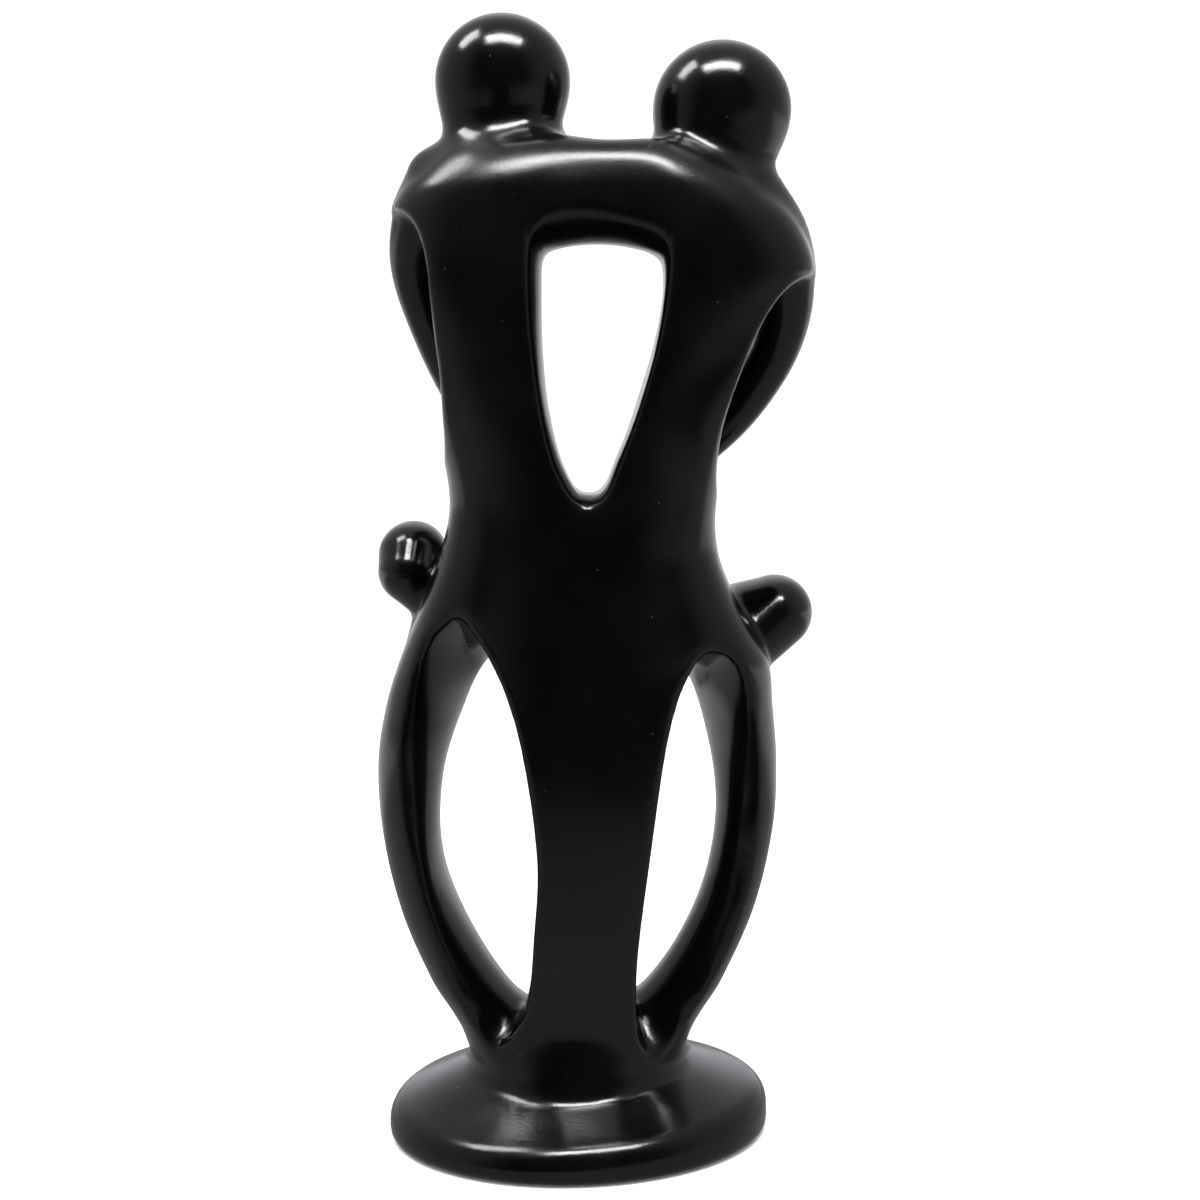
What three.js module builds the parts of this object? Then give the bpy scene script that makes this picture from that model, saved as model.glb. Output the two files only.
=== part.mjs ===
// A family of two parents and two children, carved with its round base from one piece of soapstone.
// The form is a signed distance, negative inside the stone: a squared and turned mass pierced by holes,
// with the arms, heads and children joined on by fillets. Its zero level becomes the mesh.
// Millimetres, +Z up. The parents' backs look along -Y, and the origin is the centre of the underside.
import * as THREE from "three";

// The stone's colour and polish
const STONE = { color: 0x0d0c10, roughness: 0.28, metalness: 0 };

// Base: a low dome with a rounded rim
const BASE_RADIUS = 51.9;
const BASE_RIM_ROUND = 4.5;
const BASE_DOME_SLOPE = 0.92;
const BASE_EDGE_ROUND = 3.5;
// The rim is rubbed down lower on the near left than on the far right, from one radius out to another
const BASE_DIP = 4.2;
const BASE_DIP_TURN = THREE.MathUtils.degToRad(30);
const BASE_DIP_RADII = [26, 48];
// Radius, height
const BASE_DOME = [
  [0, 23.8],
  [22, 23],
  [30, 19.9],
  [38, 17],
  [44, 14.8],
  [48, 13.2],
  [54, 10.8],
];

// The whole figure leans to its right on the base
const LEAN = THREE.MathUtils.degToRad(1.5);

// Outer mass of hub, hips, torsos and shoulders: height, left, right, near depth, far depth, squareness
const MASS = [
  [20, -29, 28.2, 33.6, 27, 2],
  [29, -32.2, 31.2, 31.3, 27, 2.1],
  [34, -34.9, 33.9, 30.6, 25.4, 2.2],
  [43, -40.6, 39.6, 31, 22, 2.3],
  [63, -48.8, 48.2, 32.5, 18, 2.4],
  [85, -53.6, 53.2, 34, 17.5, 2.4],
  [103, -54.5, 54, 35, 20, 2.3],
  [118, -52.2, 52.8, 35, 26, 2.3],
  [131, -48.1, 51.3, 34.5, 31.5, 2.5],
  [146, -42, 43.2, 33.5, 32, 3],
  [160, -36.8, 37.5, 33, 32, 3.4],
  [174, -34.3, 37, 32.5, 31, 3.8],
  [192, -37.8, 41.5, 32.5, 31, 3.6],
  [212, -45, 55, 32.5, 31, 3.2],
  [232, -50.2, 62.8, 32.5, 31, 3],
  [247, -50.8, 61.4, 32.4, 30.5, 2.8],
  [255, -49.5, 57.4, 31.7, 30.3, 2.7],
  [259, -47.6, 55.2, 30.4, 30, 2.7],
  [264.5, -44.6, 52, 27.6, 29.5, 2.7],
  [268, -42.2, 49.3, 25.2, 29, 2.7],
  [276, -36, 42.6, 18, 28, 2.7],
];

// Crest of the shoulders: across, height, rounding
const CREST = [
  [-60, 259, 22],
  [-44, 267, 22],
  [-34, 271.8, 22],
  [-22, 272.6, 20],
  [-8, 270.2, 12],
  [6, 267.8, 7],
  [20, 268.2, 9],
  [32, 268.5, 20],
  [46, 265.5, 26],
  [64, 256, 26],
];

// Parents' heads: an egg on a thick neck, blank, without features
const HEADS = [
  {
    centre: [-20.2, 6, 285.4],
    radii: [17.8, 20, 17.4],
    neckFoot: [-20.6, 0.2, 262],
    neckRadius: 15.3,
    fillet: 7,
  },
  {
    centre: [38.8, 6, 278.1],
    radii: [18.3, 20, 17.9],
    neckFoot: [35.4, 0.2, 256],
    neckRadius: 15.5,
    fillet: 5.5,
  },
];
// A neck stays as thick up to this share of the way to its head's centre
const NECK_REACH = 0.8;
const NECK_FILLET = 6;

// Outer arms, from the shoulders round to the belly on the far side: across, depth, height, radius
const ARMS = [
  [
    [-36, -2, 258, 10],
    [-42, 3, 247, 8.2],
    [-44.4, 9, 237, 6.6],
    [-41.6, 16, 223.5, 6],
    [-30, 29, 199, 6.2],
    [-18, 33.5, 188, 6.5],
    [-2, 33.5, 180, 6.3],
  ],
  [
    [43, -2, 254, 12],
    [53, 2, 243, 9.3],
    [56.6, 8, 229, 7.4],
    [54.8, 15, 216, 6.6],
    [48.6, 22, 203.8, 6.3],
    [39.2, 28, 192.5, 6.3],
    [25, 33, 182, 6.5],
    [8, 33.5, 175, 6.3],
  ],
];
const ARM_DEPTH_STRETCH = 1.25;
const ARM_FILLET = 3;

// Children: bodies along the far half of the bows, and heads that lean outwards
const CHILD_BODIES = [
  [
    [-36.8, 17, 147, 8],
    [-39.2, 15.5, 132, 8.3],
    [-44, 12.5, 112, 8.6],
    [-44.4, 10.5, 90, 8.6],
    [-40.5, 9.5, 68, 8.6],
    [-32, 9, 46, 8.3],
    [-22, 8, 28, 8],
  ],
  [
    [41, 17, 137, 8.5],
    [43.2, 15.5, 126, 8.5],
    [44.6, 12.5, 110, 8.6],
    [44.4, 10.5, 90, 8.6],
    [40.6, 9.5, 68, 8.6],
    [32, 9, 46, 8.3],
    [22, 8, 28, 8],
  ],
];
const CHILD_BODY_FILLET = 6;
const CHILD_HEADS = [
  [
    [-46.1, 18.5, 157.1, 9.7],
    [-46.5, 14.5, 153.1, 9.05],
    [-42, 16, 148.8, 8.6],
  ],
  [
    [47, 19, 138.2, 11.6],
    [54.7, 17.5, 141.4, 10.4],
    [46, 13, 134.5, 10.4],
  ],
];
const CHILD_HEAD_DEPTH_STRETCH = 1.5;
const CHILD_HEAD_FILLET = 2;

// Holes, carved in from both sides: outlines of the mouth in the near face and of the narrower waist, as
// across, height, and depths as height, waist on the left, waist on the right, far mouth, how gently the
// wall turns towards the waist, and how round it starts at the mouth
const WINDOW = {
  depths: [
    [170, -25, -25, 30, 1.3, 0.8],
    [190, -20, -28, 30, 1.6, 0.8],
    [232, -17, -28, 30, 1.8, 0.8],
    [242, -17, -21, 30, 1.6, 0.8],
    [250, -18, -20, 30, 1.6, 0.8],
  ],
  mouth: [
    [-13.2, 228],
    [-13.2, 238],
    [-12.4, 243.5],
    [-9.8, 247],
    [-4.5, 249.3],
    [1.5, 249.8],
    [7, 249],
    [14, 247],
    [20.5, 245],
    [23.4, 243.2],
    [24.5, 237],
    [23.9, 226.5],
    [20.6, 213.5],
    [17.4, 203.5],
    [14, 192.3],
    [10.2, 182.6],
    [6.6, 174.6],
    [2.2, 171.9],
    [-1.9, 175.2],
    [-6.2, 183.6],
    [-8.6, 192.4],
    [-10.6, 203.6],
    [-12.5, 218],
  ],
  waist: [
    [-9.1, 237],
    [-9.4, 226.1],
    [-9.2, 214.6],
    [-8.3, 203.2],
    [-6.3, 191.6],
    [-3.7, 183],
    [-0.3, 177],
    [1.5, 176.2],
    [6.1, 176.7],
    [10.4, 185.8],
    [14.5, 195.7],
    [17.7, 205.5],
    [20.3, 215.8],
    [22.2, 227.2],
    [22.4, 234.1],
    [21.6, 237.2],
    [19, 238.8],
    [12.1, 240.6],
    [3.5, 241.1],
    [-4, 240.2],
    [-8, 239],
  ],
};
const CAGE = {
  depths: [
    [20, -2, -2, 20, 2, 0.6],
    [60, -3, -3, 20, 2, 0.55],
    [85, -5, -5, 20, 2, 0.5],
    [100, -1, -1, 23, 1.9, 0.5],
    [112, 8, 8, 27, 1.5, 0.55],
    [124, 14, 14, 29, 1.2, 0.7],
    [136, 17, 17, 31, 1.1, 0.8],
    [150, 18, 18, 31, 1.1, 0.8],
  ],
  mouth: [
    [0, 23.5],
    [-20, 26.8],
    [-25.3, 30],
    [-33, 43.3],
    [-38.8, 59],
    [-43.6, 77],
    [-47.2, 104],
    [-44, 125],
    [-40.5, 136.3],
    [-36.5, 141.6],
    [-31.5, 145],
    [-27.5, 144],
    [-20, 138.5],
    [0, 134],
    [22, 132.5],
    [30, 134.2],
    [35.3, 135.8],
    [40.2, 134],
    [43.8, 129.4],
    [47.3, 112.5],
    [48.1, 98],
    [46.6, 77],
    [43.8, 65],
    [39.6, 52.8],
    [33.4, 41],
    [25.4, 29.8],
    [19.4, 25.8],
  ],
  waist: [
    [0.3, 34.1],
    [-13.9, 36.7],
    [-29.3, 57.1],
    [-36.8, 77.1],
    [-36.9, 98.8],
    [-32.8, 113.4],
    [-25.2, 128.5],
    [-13.2, 135.2],
    [0.1, 137.2],
    [16.5, 134.8],
    [27.9, 128.1],
    [34.7, 111.5],
    [37.3, 89.2],
    [32.7, 65.9],
    [22.6, 46.5],
    [13.4, 37.4],
  ],
};
const HOLE_FAR_SHARE = 0.3;
// A hole's waist lies at least this deep below the near face
const LEAST_WAIST_DEPTH = 1;

// Gaps between the arms and the torsos, open to the side: outlines at a near and at a far depth
const SLITS = [
  {
    depths: [-26, 32],
    near: [
      [-75, 176],
      [-38, 184],
      [-36, 198],
      [-38.1, 222.8],
      [-40.4, 240.5],
      [-44.6, 247.8],
      [-54, 250.8],
      [-75, 252],
    ],
    far: [
      [-75, 170],
      [-38, 177],
      [-26.5, 207],
      [-27, 236],
      [-44, 251],
      [-75, 253],
    ],
  },
  {
    depths: [-26, 32],
    near: [
      [80, 166],
      [39.5, 175],
      [37.5, 188],
      [44.5, 213.2],
      [52, 226.4],
      [58.5, 231.4],
      [80, 234],
    ],
    far: [
      [80, 160],
      [41, 168],
      [32.5, 193],
      [39, 221],
      [57, 234],
      [80, 236],
    ],
  },
];
const SLIT_REACH = [-0.35, 1.4];
const ARRIS = 2.5;

// Centre leg: its outline widens upwards into the hips
const LEG = [
  [-30, 20],
  [-15.6, 35],
  [-11.3, 63.5],
  [-10.8, 83.7],
  [-18.2, 123.2],
  [-31, 145.5],
  [-60, 175],
  [0, 200],
  [60, 175],
  [35, 139],
  [26.2, 123.2],
  [19.3, 83.7],
  [15.4, 43.7],
  [17.5, 29],
  [28, 20],
];
const LEG_DEPTH = 24;
const LEG_BACK_ROUND = 8;

const HUB_FILLET = 3.5;

// Mesh: the grid's corners and cells across, in depth and in height, then the triangles kept
const LOW = [-60, -60, -3];
const HIGH = [78, 60, 315];
const CELL = [2.1, 2.1, 2.8];
const TRIANGLES = 9700;
const FEATURE_STEPS = 12;
const SLOPE_STEP = 0.02;
const OUTLINE_STEPS = 5;
const LIMB_STEPS = 5;
const GROUND_SNAP = 0.1;

// Thinning: the share of edges tried in one pass, the pull towards an edge's middle, the bend allowed
const THINNING_SHARE = 0.2;
const MIDDLE_PULL = 0.002;
const BEND_LIMIT = 0.35;

const TINY = 1e-9;

const clamp = THREE.MathUtils.clamp;
const minus = (p, q) => [p[0] - q[0], p[1] - q[1], p[2] - q[2]];
const cross = (p, q) => [p[1] * q[2] - p[2] * q[1], p[2] * q[0] - p[0] * q[2], p[0] * q[1] - p[1] * q[0]];
const dot = (p, q) => p[0] * q[0] + p[1] * q[1] + p[2] * q[2];

function smoothJoin(a, b, round) {
  const h = clamp(0.5 + (0.5 * (b - a)) / round, 0, 1);
  return b + (a - b) * h - round * h * (1 - h);
}

function smoothCut(a, b, round) {
  return -smoothJoin(-a, -b, round);
}

// A smooth curve through rows of numbers, sampled evenly between each pair of rows
function curveThrough(rows, steps, closed) {
  const count = rows.length;
  const spans = closed ? count : count - 1;
  const row = (i) => {
    if (closed) return rows[(i + count) % count];
    if (i < 0) return rows[0].map((v, k) => 2 * v - rows[1][k]);
    if (i >= count) return rows[count - 1].map((v, k) => 2 * v - rows[count - 2][k]);
    return rows[i];
  };
  const gap = (p, q) => Math.sqrt(Math.hypot(...p.map((v, k) => v - q[k])));
  const samples = [];
  for (let i = 0; i < spans; i++) {
    const [p0, p1, p2, p3] = [row(i - 1), row(i), row(i + 1), row(i + 2)];
    const [d1, d2, d3] = [gap(p1, p0), gap(p2, p1), gap(p3, p2)];
    for (let s = 0; s < steps; s++) {
      const t = s / steps;
      samples.push(
        p1.map((v, k) => {
          const run = p2[k] - v;
          const m1 = run + d2 * ((v - p0[k]) / d1 - (p2[k] - p0[k]) / (d1 + d2));
          const m2 = run + d2 * ((p3[k] - p2[k]) / d3 - (p3[k] - v) / (d2 + d3));
          return v + t * (m1 + t * (3 * run - 2 * m1 - m2 + t * (m1 + m2 - 2 * run)));
        }),
      );
    }
  }
  if (!closed) samples.push(rows[count - 1]);
  return samples;
}

// A table's row of values at a height or radius, smoothly between the rows given
function profileAt(rows, at) {
  let i = 0;
  while (i < rows.length - 2 && at > rows[i + 1][0]) i++;
  const [low, high] = [rows[i], rows[i + 1]];
  const before = rows[Math.max(i - 1, 0)];
  const after = rows[Math.min(i + 2, rows.length - 1)];
  const span = high[0] - low[0];
  const t = clamp((at - low[0]) / span, 0, 1);
  return low.map((v, k) => {
    const rise = high[k] - v;
    const m1 = ((high[k] - before[k]) / (high[0] - before[0])) * span;
    const m2 = ((after[k] - v) / (after[0] - low[0])) * span;
    return v + t * (m1 + t * (3 * rise - 2 * m1 - m2 + t * (m1 + m2 - 2 * rise)));
  });
}

// The edges of a closed outline, with what a distance to them needs
function edgesOf(points) {
  return points.map(([x, z], i) => {
    const [endX, endZ] = points[(i + 1) % points.length];
    return { x, z, endZ, dx: endX - x, dz: endZ - z, squared: (endX - x) ** 2 + (endZ - z) ** 2 };
  });
}

// Signed distance in the plane to a closed outline, negative inside
function outlineDistance(edges, x, z) {
  let nearest = Infinity;
  let side = 1;
  for (const edge of edges) {
    const wx = x - edge.x;
    const wz = z - edge.z;
    const t = clamp((wx * edge.dx + wz * edge.dz) / edge.squared, 0, 1);
    nearest = Math.min(nearest, (wx - edge.dx * t) ** 2 + (wz - edge.dz * t) ** 2);
    const above = z >= edge.z;
    const below = z < edge.endZ;
    const left = edge.dx * wz > edge.dz * wx;
    if ((above && below && left) || (!above && !below && !left)) side = -side;
  }
  return side * Math.sqrt(nearest);
}

function slitDistance(slit, x, y, z) {
  const near = outlineDistance(slit.nearOutline, x, z);
  const far = outlineDistance(slit.farOutline, x, z);
  const share = (y - slit.depths[0]) / (slit.depths[1] - slit.depths[0]);
  return near + (far - near) * clamp(share, ...SLIT_REACH);
}

// Depth of the near face of the outer mass
function nearFace(x, z) {
  const [, left, right, near, , square] = profileAt(MASS, z);
  const u = Math.min(Math.abs(x - (left + right) / 2) / ((right - left) / 2), 1);
  return -near * (1 - u ** square) ** (1 / square);
}

// A hole narrows from its mouth to its waist by a rounded wall, and widens to the far side
function holeDistance(hole, x, y, z) {
  const [, leftWaist, rightWaist, farDepth, turn, start] = profileAt(hole.depths, z);
  const mouth = outlineDistance(hole.mouthOutline, x, z);
  const waist = outlineDistance(hole.waistOutline, x, z);
  const side = clamp((x - hole.left) / (hole.right - hole.left), 0, 1);
  const waistDepth = leftWaist + (rightWaist - leftWaist) * side;
  const edge = x + Math.sign(x) * Math.max(-mouth, 0);
  const face = Math.min(nearFace(edge, z), waistDepth - LEAST_WAIST_DEPTH);
  const rise = clamp((y - face) / (waistDepth - face), 0, 1);
  const fall = clamp((y - waistDepth) / (farDepth - waistDepth), 0, 1);
  const narrowing = (1 - (1 - rise) ** turn) ** start;
  return mouth + (waist - mouth) * (narrowing - (1 - HOLE_FAR_SHARE) * fall ** 2);
}

// Distance to a limb: a chain of tapering capsules, stretched in depth
function limbDistance(limb, stretch, x, y, z) {
  let nearest = Infinity;
  for (let i = 0; i < limb.length - 1; i++) {
    const [ax, ay, az, thick] = limb[i];
    const [bx, by, bz, thin] = limb[i + 1];
    const [ex, ey, ez] = [bx - ax, (by - ay) / stretch, bz - az];
    const [wx, wy, wz] = [x - ax, (y - ay) / stretch, z - az];
    const t = clamp((wx * ex + wy * ey + wz * ez) / (ex * ex + ey * ey + ez * ez), 0, 1);
    const off = Math.sqrt((wx - ex * t) ** 2 + (wy - ey * t) ** 2 + (wz - ez * t) ** 2);
    nearest = Math.min(nearest, off - (thick + (thin - thick) * t));
  }
  return nearest;
}

function eggDistance([cx, cy, cz], [rx, ry, rz], x, y, z) {
  const scaled = Math.hypot((x - cx) / rx, (y - cy) / ry, (z - cz) / rz);
  const slope = Math.hypot((x - cx) / rx ** 2, (y - cy) / ry ** 2, (z - cz) / rz ** 2);
  return (scaled * (scaled - 1)) / Math.max(slope, TINY);
}

const closedOutline = (points) => edgesOf(curveThrough(points, OUTLINE_STEPS, true));
const openOutline = (points) => edgesOf(curveThrough(points, OUTLINE_STEPS, false));
const makeHole = (hole) => ({
  depths: hole.depths,
  mouthOutline: closedOutline(hole.mouth),
  waistOutline: closedOutline(hole.waist),
  left: Math.min(...hole.waist.map(([x]) => x)),
  right: Math.max(...hole.waist.map(([x]) => x)),
});
const windowHole = makeHole(WINDOW);
const cageHole = makeHole(CAGE);
const slitCuts = SLITS.map((slit) => ({
  depths: slit.depths,
  nearOutline: openOutline(slit.near),
  farOutline: openOutline(slit.far),
}));
const legOutline = closedOutline(LEG);
const armPaths = ARMS.map((arm) => curveThrough(arm, LIMB_STEPS, false));
const childPaths = CHILD_BODIES.map((body) => curveThrough(body, LIMB_STEPS, false));

function massDistance(x, y, z) {
  const [, left, right, near, far, square] = profileAt(MASS, z);
  const across = x - (left + right) / 2;
  const u = Math.abs(across) / ((right - left) / 2);
  const v = Math.abs(y) / (y < 0 ? near : far);
  const reach = (u ** square + v ** square) ** (1 / square);
  const mass = Math.hypot(across, y) * (1 - 1 / Math.max(reach, TINY));
  const [, crest, round] = profileAt(CREST, x);
  return smoothCut(mass, z - crest, round);
}

function headDistance(head, x, y, z) {
  const [nx, ny, nz] = head.neckFoot;
  const top = [nx + (head.centre[0] - nx) * NECK_REACH, ny, head.centre[2], head.neckRadius];
  const neck = limbDistance([[nx, ny, nz, head.neckRadius], top], 1, x, y, z);
  return smoothJoin(eggDistance(head.centre, head.radii, x, y, z), neck, NECK_FILLET);
}

// The space below the hips, without the centre leg that stands in it
function cageDistance(x, y, z) {
  const back = y + profileAt(MASS, z)[3] - LEG_DEPTH;
  const leg = smoothCut(outlineDistance(legOutline, x, z), back, LEG_BACK_ROUND);
  return smoothCut(holeDistance(cageHole, x, y, z), -leg, ARRIS);
}

function baseDistance(x, y, z) {
  const radius = Math.hypot(x, y);
  const aside = (x * Math.sin(BASE_DIP_TURN) + y * Math.cos(BASE_DIP_TURN)) / BASE_RADIUS;
  const dip = BASE_DIP * THREE.MathUtils.smoothstep(radius, ...BASE_DIP_RADII) * ((1 - aside) / 2) ** 2;
  const dome = (z - profileAt(BASE_DOME, radius)[1] + dip) * BASE_DOME_SLOPE;
  return smoothCut(dome, radius - BASE_RADIUS, BASE_RIM_ROUND);
}

function stoneDistance(worldX, y, worldZ) {
  const x = worldX * Math.cos(LEAN) - worldZ * Math.sin(LEAN);
  const z = worldZ * Math.cos(LEAN) + worldX * Math.sin(LEAN);
  let stone = massDistance(x, y, z);
  for (const body of childPaths) stone = smoothJoin(stone, limbDistance(body, 1, x, y, z), CHILD_BODY_FILLET);
  for (const slit of slitCuts) stone = smoothCut(stone, -slitDistance(slit, x, y, z), ARRIS);
  for (const head of HEADS) stone = smoothJoin(stone, headDistance(head, x, y, z), head.fillet);
  for (const arm of armPaths)
    stone = smoothJoin(stone, limbDistance(arm, ARM_DEPTH_STRETCH, x, y, z), ARM_FILLET);
  for (const head of CHILD_HEADS)
    stone = smoothJoin(stone, limbDistance(head, CHILD_HEAD_DEPTH_STRETCH, x, y, z), CHILD_HEAD_FILLET);
  stone = smoothCut(stone, -holeDistance(windowHole, x, y, z), ARRIS);
  stone = smoothCut(stone, -cageDistance(x, y, z), ARRIS);
  stone = smoothJoin(stone, baseDistance(worldX, y, worldZ), HUB_FILLET);
  return smoothCut(stone, -worldZ, BASE_EDGE_ROUND);
}

// The direction in which the distance grows, as long as its rate of growth
function slopeAt(p) {
  return p.map((_, k) => {
    const [ahead, behind] = [[...p], [...p]];
    ahead[k] += SLOPE_STEP;
    behind[k] -= SLOPE_STEP;
    return (stoneDistance(...ahead) - stoneDistance(...behind)) / (2 * SLOPE_STEP);
  });
}

// Two crossings in a cell lie on one sheet of surface when they bound the same part of a cell face
function onOneSheet(a, b, crossings) {
  return [0, 1, 2].some((axis) => {
    const side = a.middle[axis];
    if (side === 0.5 || b.middle[axis] !== side) return false;
    const onFace = crossings.filter((crossing) => crossing.middle[axis] === side);
    return onFace.length === 2 || a.inner.every((v, k) => v === b.inner[k]);
  });
}

function sheetsOf(crossings) {
  let sheets = [];
  for (const crossing of crossings) {
    const meets = (sheet) => sheet.some((other) => onOneSheet(crossing, other, crossings));
    const joined = sheets.filter(meets).flat();
    sheets = [...sheets.filter((sheet) => !meets(sheet)), [...joined, crossing]];
  }
  return sheets;
}

// The point of a sheet nearest to the planes of its crossings, so that edges stay crisp, set on the surface
function sheetPoint(sheet, low) {
  const p = [0, 1, 2].map((k) => sheet.reduce((sum, { point }) => sum + point[k], 0) / sheet.length);
  for (let step = 0; step < FEATURE_STEPS; step++) {
    const move = [0, 0, 0];
    for (const { point, normal } of sheet) {
      const off = normal.reduce((sum, n, k) => sum + n * (point[k] - p[k]), 0);
      for (let k = 0; k < 3; k++) move[k] += (off * normal[k]) / sheet.length;
    }
    for (let k = 0; k < 3; k++) p[k] = clamp(p[k] + move[k], low[k], low[k] + CELL[k]);
  }
  const slope = slopeAt(p);
  const step = stoneDistance(...p) / dot(slope, slope);
  return p.map((v, k) => v - step * slope[k]);
}

// A closed mesh of the zero level: one vertex for each sheet in each grid cell, one quad for each grid edge
function meshOf(distance) {
  const counts = LOW.map((low, k) => Math.ceil((HIGH[k] - low) / CELL[k]) + 1);
  const at = (i) => LOW.map((low, k) => low + i[k] * CELL[k]);
  const key = (i) => (i[0] * counts[1] + i[1]) * counts[2] + i[2];
  const values = new Float64Array(counts[0] * counts[1] * counts[2]);
  for (let i = 0; i < counts[0]; i++)
    for (let j = 0; j < counts[1]; j++)
      for (let k = 0; k < counts[2]; k++) values[key([i, j, k])] = distance(...at([i, j, k]));

  const cells = new Map();
  const quads = [];
  const visit = (start, axis) => {
    const end = [...start];
    end[axis] += 1;
    const [v0, v1] = [values[key(start)], values[key(end)]];
    if (v0 < 0 === v1 < 0) return;
    const point = at(start);
    point[axis] += (CELL[axis] * v0) / (v0 - v1);
    const slope = slopeAt(point);
    const normal = slope.map((v) => v / Math.sqrt(dot(slope, slope)));
    const [b, c] = [(axis + 1) % 3, (axis + 2) % 3];
    const around = [
      [0, 0],
      [1, 0],
      [1, 1],
      [0, 1],
    ];
    const ring = around.map(([down, back]) => {
      const cell = [...start];
      cell[b] -= down;
      cell[c] -= back;
      const middle = [0.5, 0.5, 0.5];
      middle[b] = down;
      middle[c] = back;
      const inner = [...middle];
      inner[axis] = v0 < 0 ? 0 : 1;
      const crossing = { point, normal, middle, inner };
      if (!cells.has(key(cell))) cells.set(key(cell), { cell, crossings: [] });
      cells.get(key(cell)).crossings.push(crossing);
      return crossing;
    });
    quads.push(v0 < 0 ? ring : ring.reverse());
  };
  for (let i = 1; i < counts[0] - 1; i++)
    for (let j = 1; j < counts[1] - 1; j++)
      for (let k = 0; k < counts[2] - 1; k++) for (const axis of [0, 1, 2]) visit([i, j, k], axis);

  const points = [];
  for (const { cell, crossings } of cells.values())
    for (const sheet of sheetsOf(crossings)) {
      for (const crossing of sheet) crossing.vertex = points.length;
      points.push(sheetPoint(sheet, at(cell)));
    }

  // Each quad is split along the diagonal that lies nearer to the surface
  const gapUnder = (a, b) => Math.abs(distance(...points[a].map((v, k) => (v + points[b][k]) / 2)));
  const faces = quads.flatMap((ring) => {
    const [a, b, c, d] = ring.map((crossing) => crossing.vertex);
    if (gapUnder(a, c) <= gapUnder(b, d)) return [[a, b, c], [a, c, d]];
    return [[a, b, d], [b, c, d]];
  });
  return { points, faces };
}

// Weighted sums of squared distances to planes, as the ten numbers of a quadratic form
function planeForm([p, q, r]) {
  const area = cross(minus(q, p), minus(r, p));
  const size = Math.sqrt(dot(area, area)) || 1;
  const [a, b, c] = area.map((v) => v / size);
  const d = -dot([a, b, c], p);
  return [a * a, a * b, a * c, a * d, b * b, b * c, b * d, c * c, c * d, d * d].map((v) => v * size);
}

function formValue(form, [x, y, z]) {
  const [aa, ab, ac, ad, bb, bc, bd, cc, cd, dd] = form;
  const mixed = ab * x * y + ac * x * z + bc * y * z + ad * x + bd * y + cd * z;
  return aa * x * x + bb * y * y + cc * z * z + 2 * mixed + dd;
}

// Where a form is least, with a slight pull to a middle point
function formLow(form, middle, pull) {
  const [aa, ab, ac, ad, bb, bc, bd, cc, cd] = form;
  const rows = [
    [aa + pull, ab, ac],
    [ab, bb + pull, bc],
    [ac, bc, cc + pull],
  ];
  const goal = [pull * middle[0] - ad, pull * middle[1] - bd, pull * middle[2] - cd];
  const sides = [cross(rows[1], rows[2]), cross(rows[2], rows[0]), cross(rows[0], rows[1])];
  const volume = dot(rows[0], sides[0]);
  return [0, 1, 2].map((k) => dot(goal, sides.map((side) => side[k])) / volume);
}

// Edges are closed up where that moves the surface least, until the wanted number of triangles is left
function thin({ points, faces }, wanted) {
  const forms = points.map(() => new Array(10).fill(0));
  const addForm = (form, more) => more.forEach((v, k) => (form[k] += v));
  for (const face of faces) {
    const form = planeForm(face.map((v) => points[v]));
    for (const v of face) addForm(forms[v], form);
  }
  let left = faces.length;
  while (left > wanted) {
    const around = points.map(() => []);
    for (const face of faces) for (const v of face) around[v].push(face);
    const edges = [];
    for (const face of faces)
      for (let k = 0; k < 3; k++) {
        const [a, b] = [face[k], face[(k + 1) % 3]];
        if (a > b) continue;
        const form = forms[a].map((v, i) => v + forms[b][i]);
        const middle = points[a].map((v, i) => (v + points[b][i]) / 2);
        const span = minus(points[a], points[b]);
        const pull = MIDDLE_PULL * (form[0] + form[4] + form[7]);
        const place = formLow(form, middle, pull);
        const cost = formValue(form, place) + pull * dot(span, span);
        edges.push({ a, b, place, cost });
      }
    edges.sort((p, q) => p.cost - q.cost);

    const touched = new Set();
    const keepsShape = ({ a, b, place }) => {
      const ringOf = (v) => new Set(around[v].flat());
      const [ringA, ringB] = [ringOf(a), ringOf(b)];
      const shared = [...ringA].filter((v) => ringB.has(v) && v !== a && v !== b);
      if (shared.length !== 2 || [...ringA, ...ringB].some((v) => touched.has(v))) return false;
      return [...around[a], ...around[b]].every((face) => {
        if (face.includes(a) && face.includes(b)) return true;
        const before = face.map((v) => points[v]);
        const after = face.map((v) => (v === a || v === b ? place : points[v]));
        const [n0, n1] = [before, after].map(([p, q, r]) => cross(minus(q, p), minus(r, p)));
        return dot(n0, n1) > BEND_LIMIT * Math.sqrt(dot(n0, n0) * dot(n1, n1));
      });
    };
    const closed = new Set();
    for (const edge of edges.slice(0, Math.ceil(edges.length * THINNING_SHARE))) {
      if (left <= wanted) break;
      if (!keepsShape(edge)) continue;
      const { a, b, place } = edge;
      for (const v of [...around[a], ...around[b]].flat()) touched.add(v);
      for (const face of around[b]) {
        if (face.includes(a)) closed.add(face);
        else face[face.indexOf(b)] = a;
      }
      points[a] = place;
      addForm(forms[a], forms[b]);
      left -= 2;
    }
    if (closed.size === 0) break;
    faces = faces.filter((face) => !closed.has(face));
  }
  return { points, faces };
}

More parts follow.
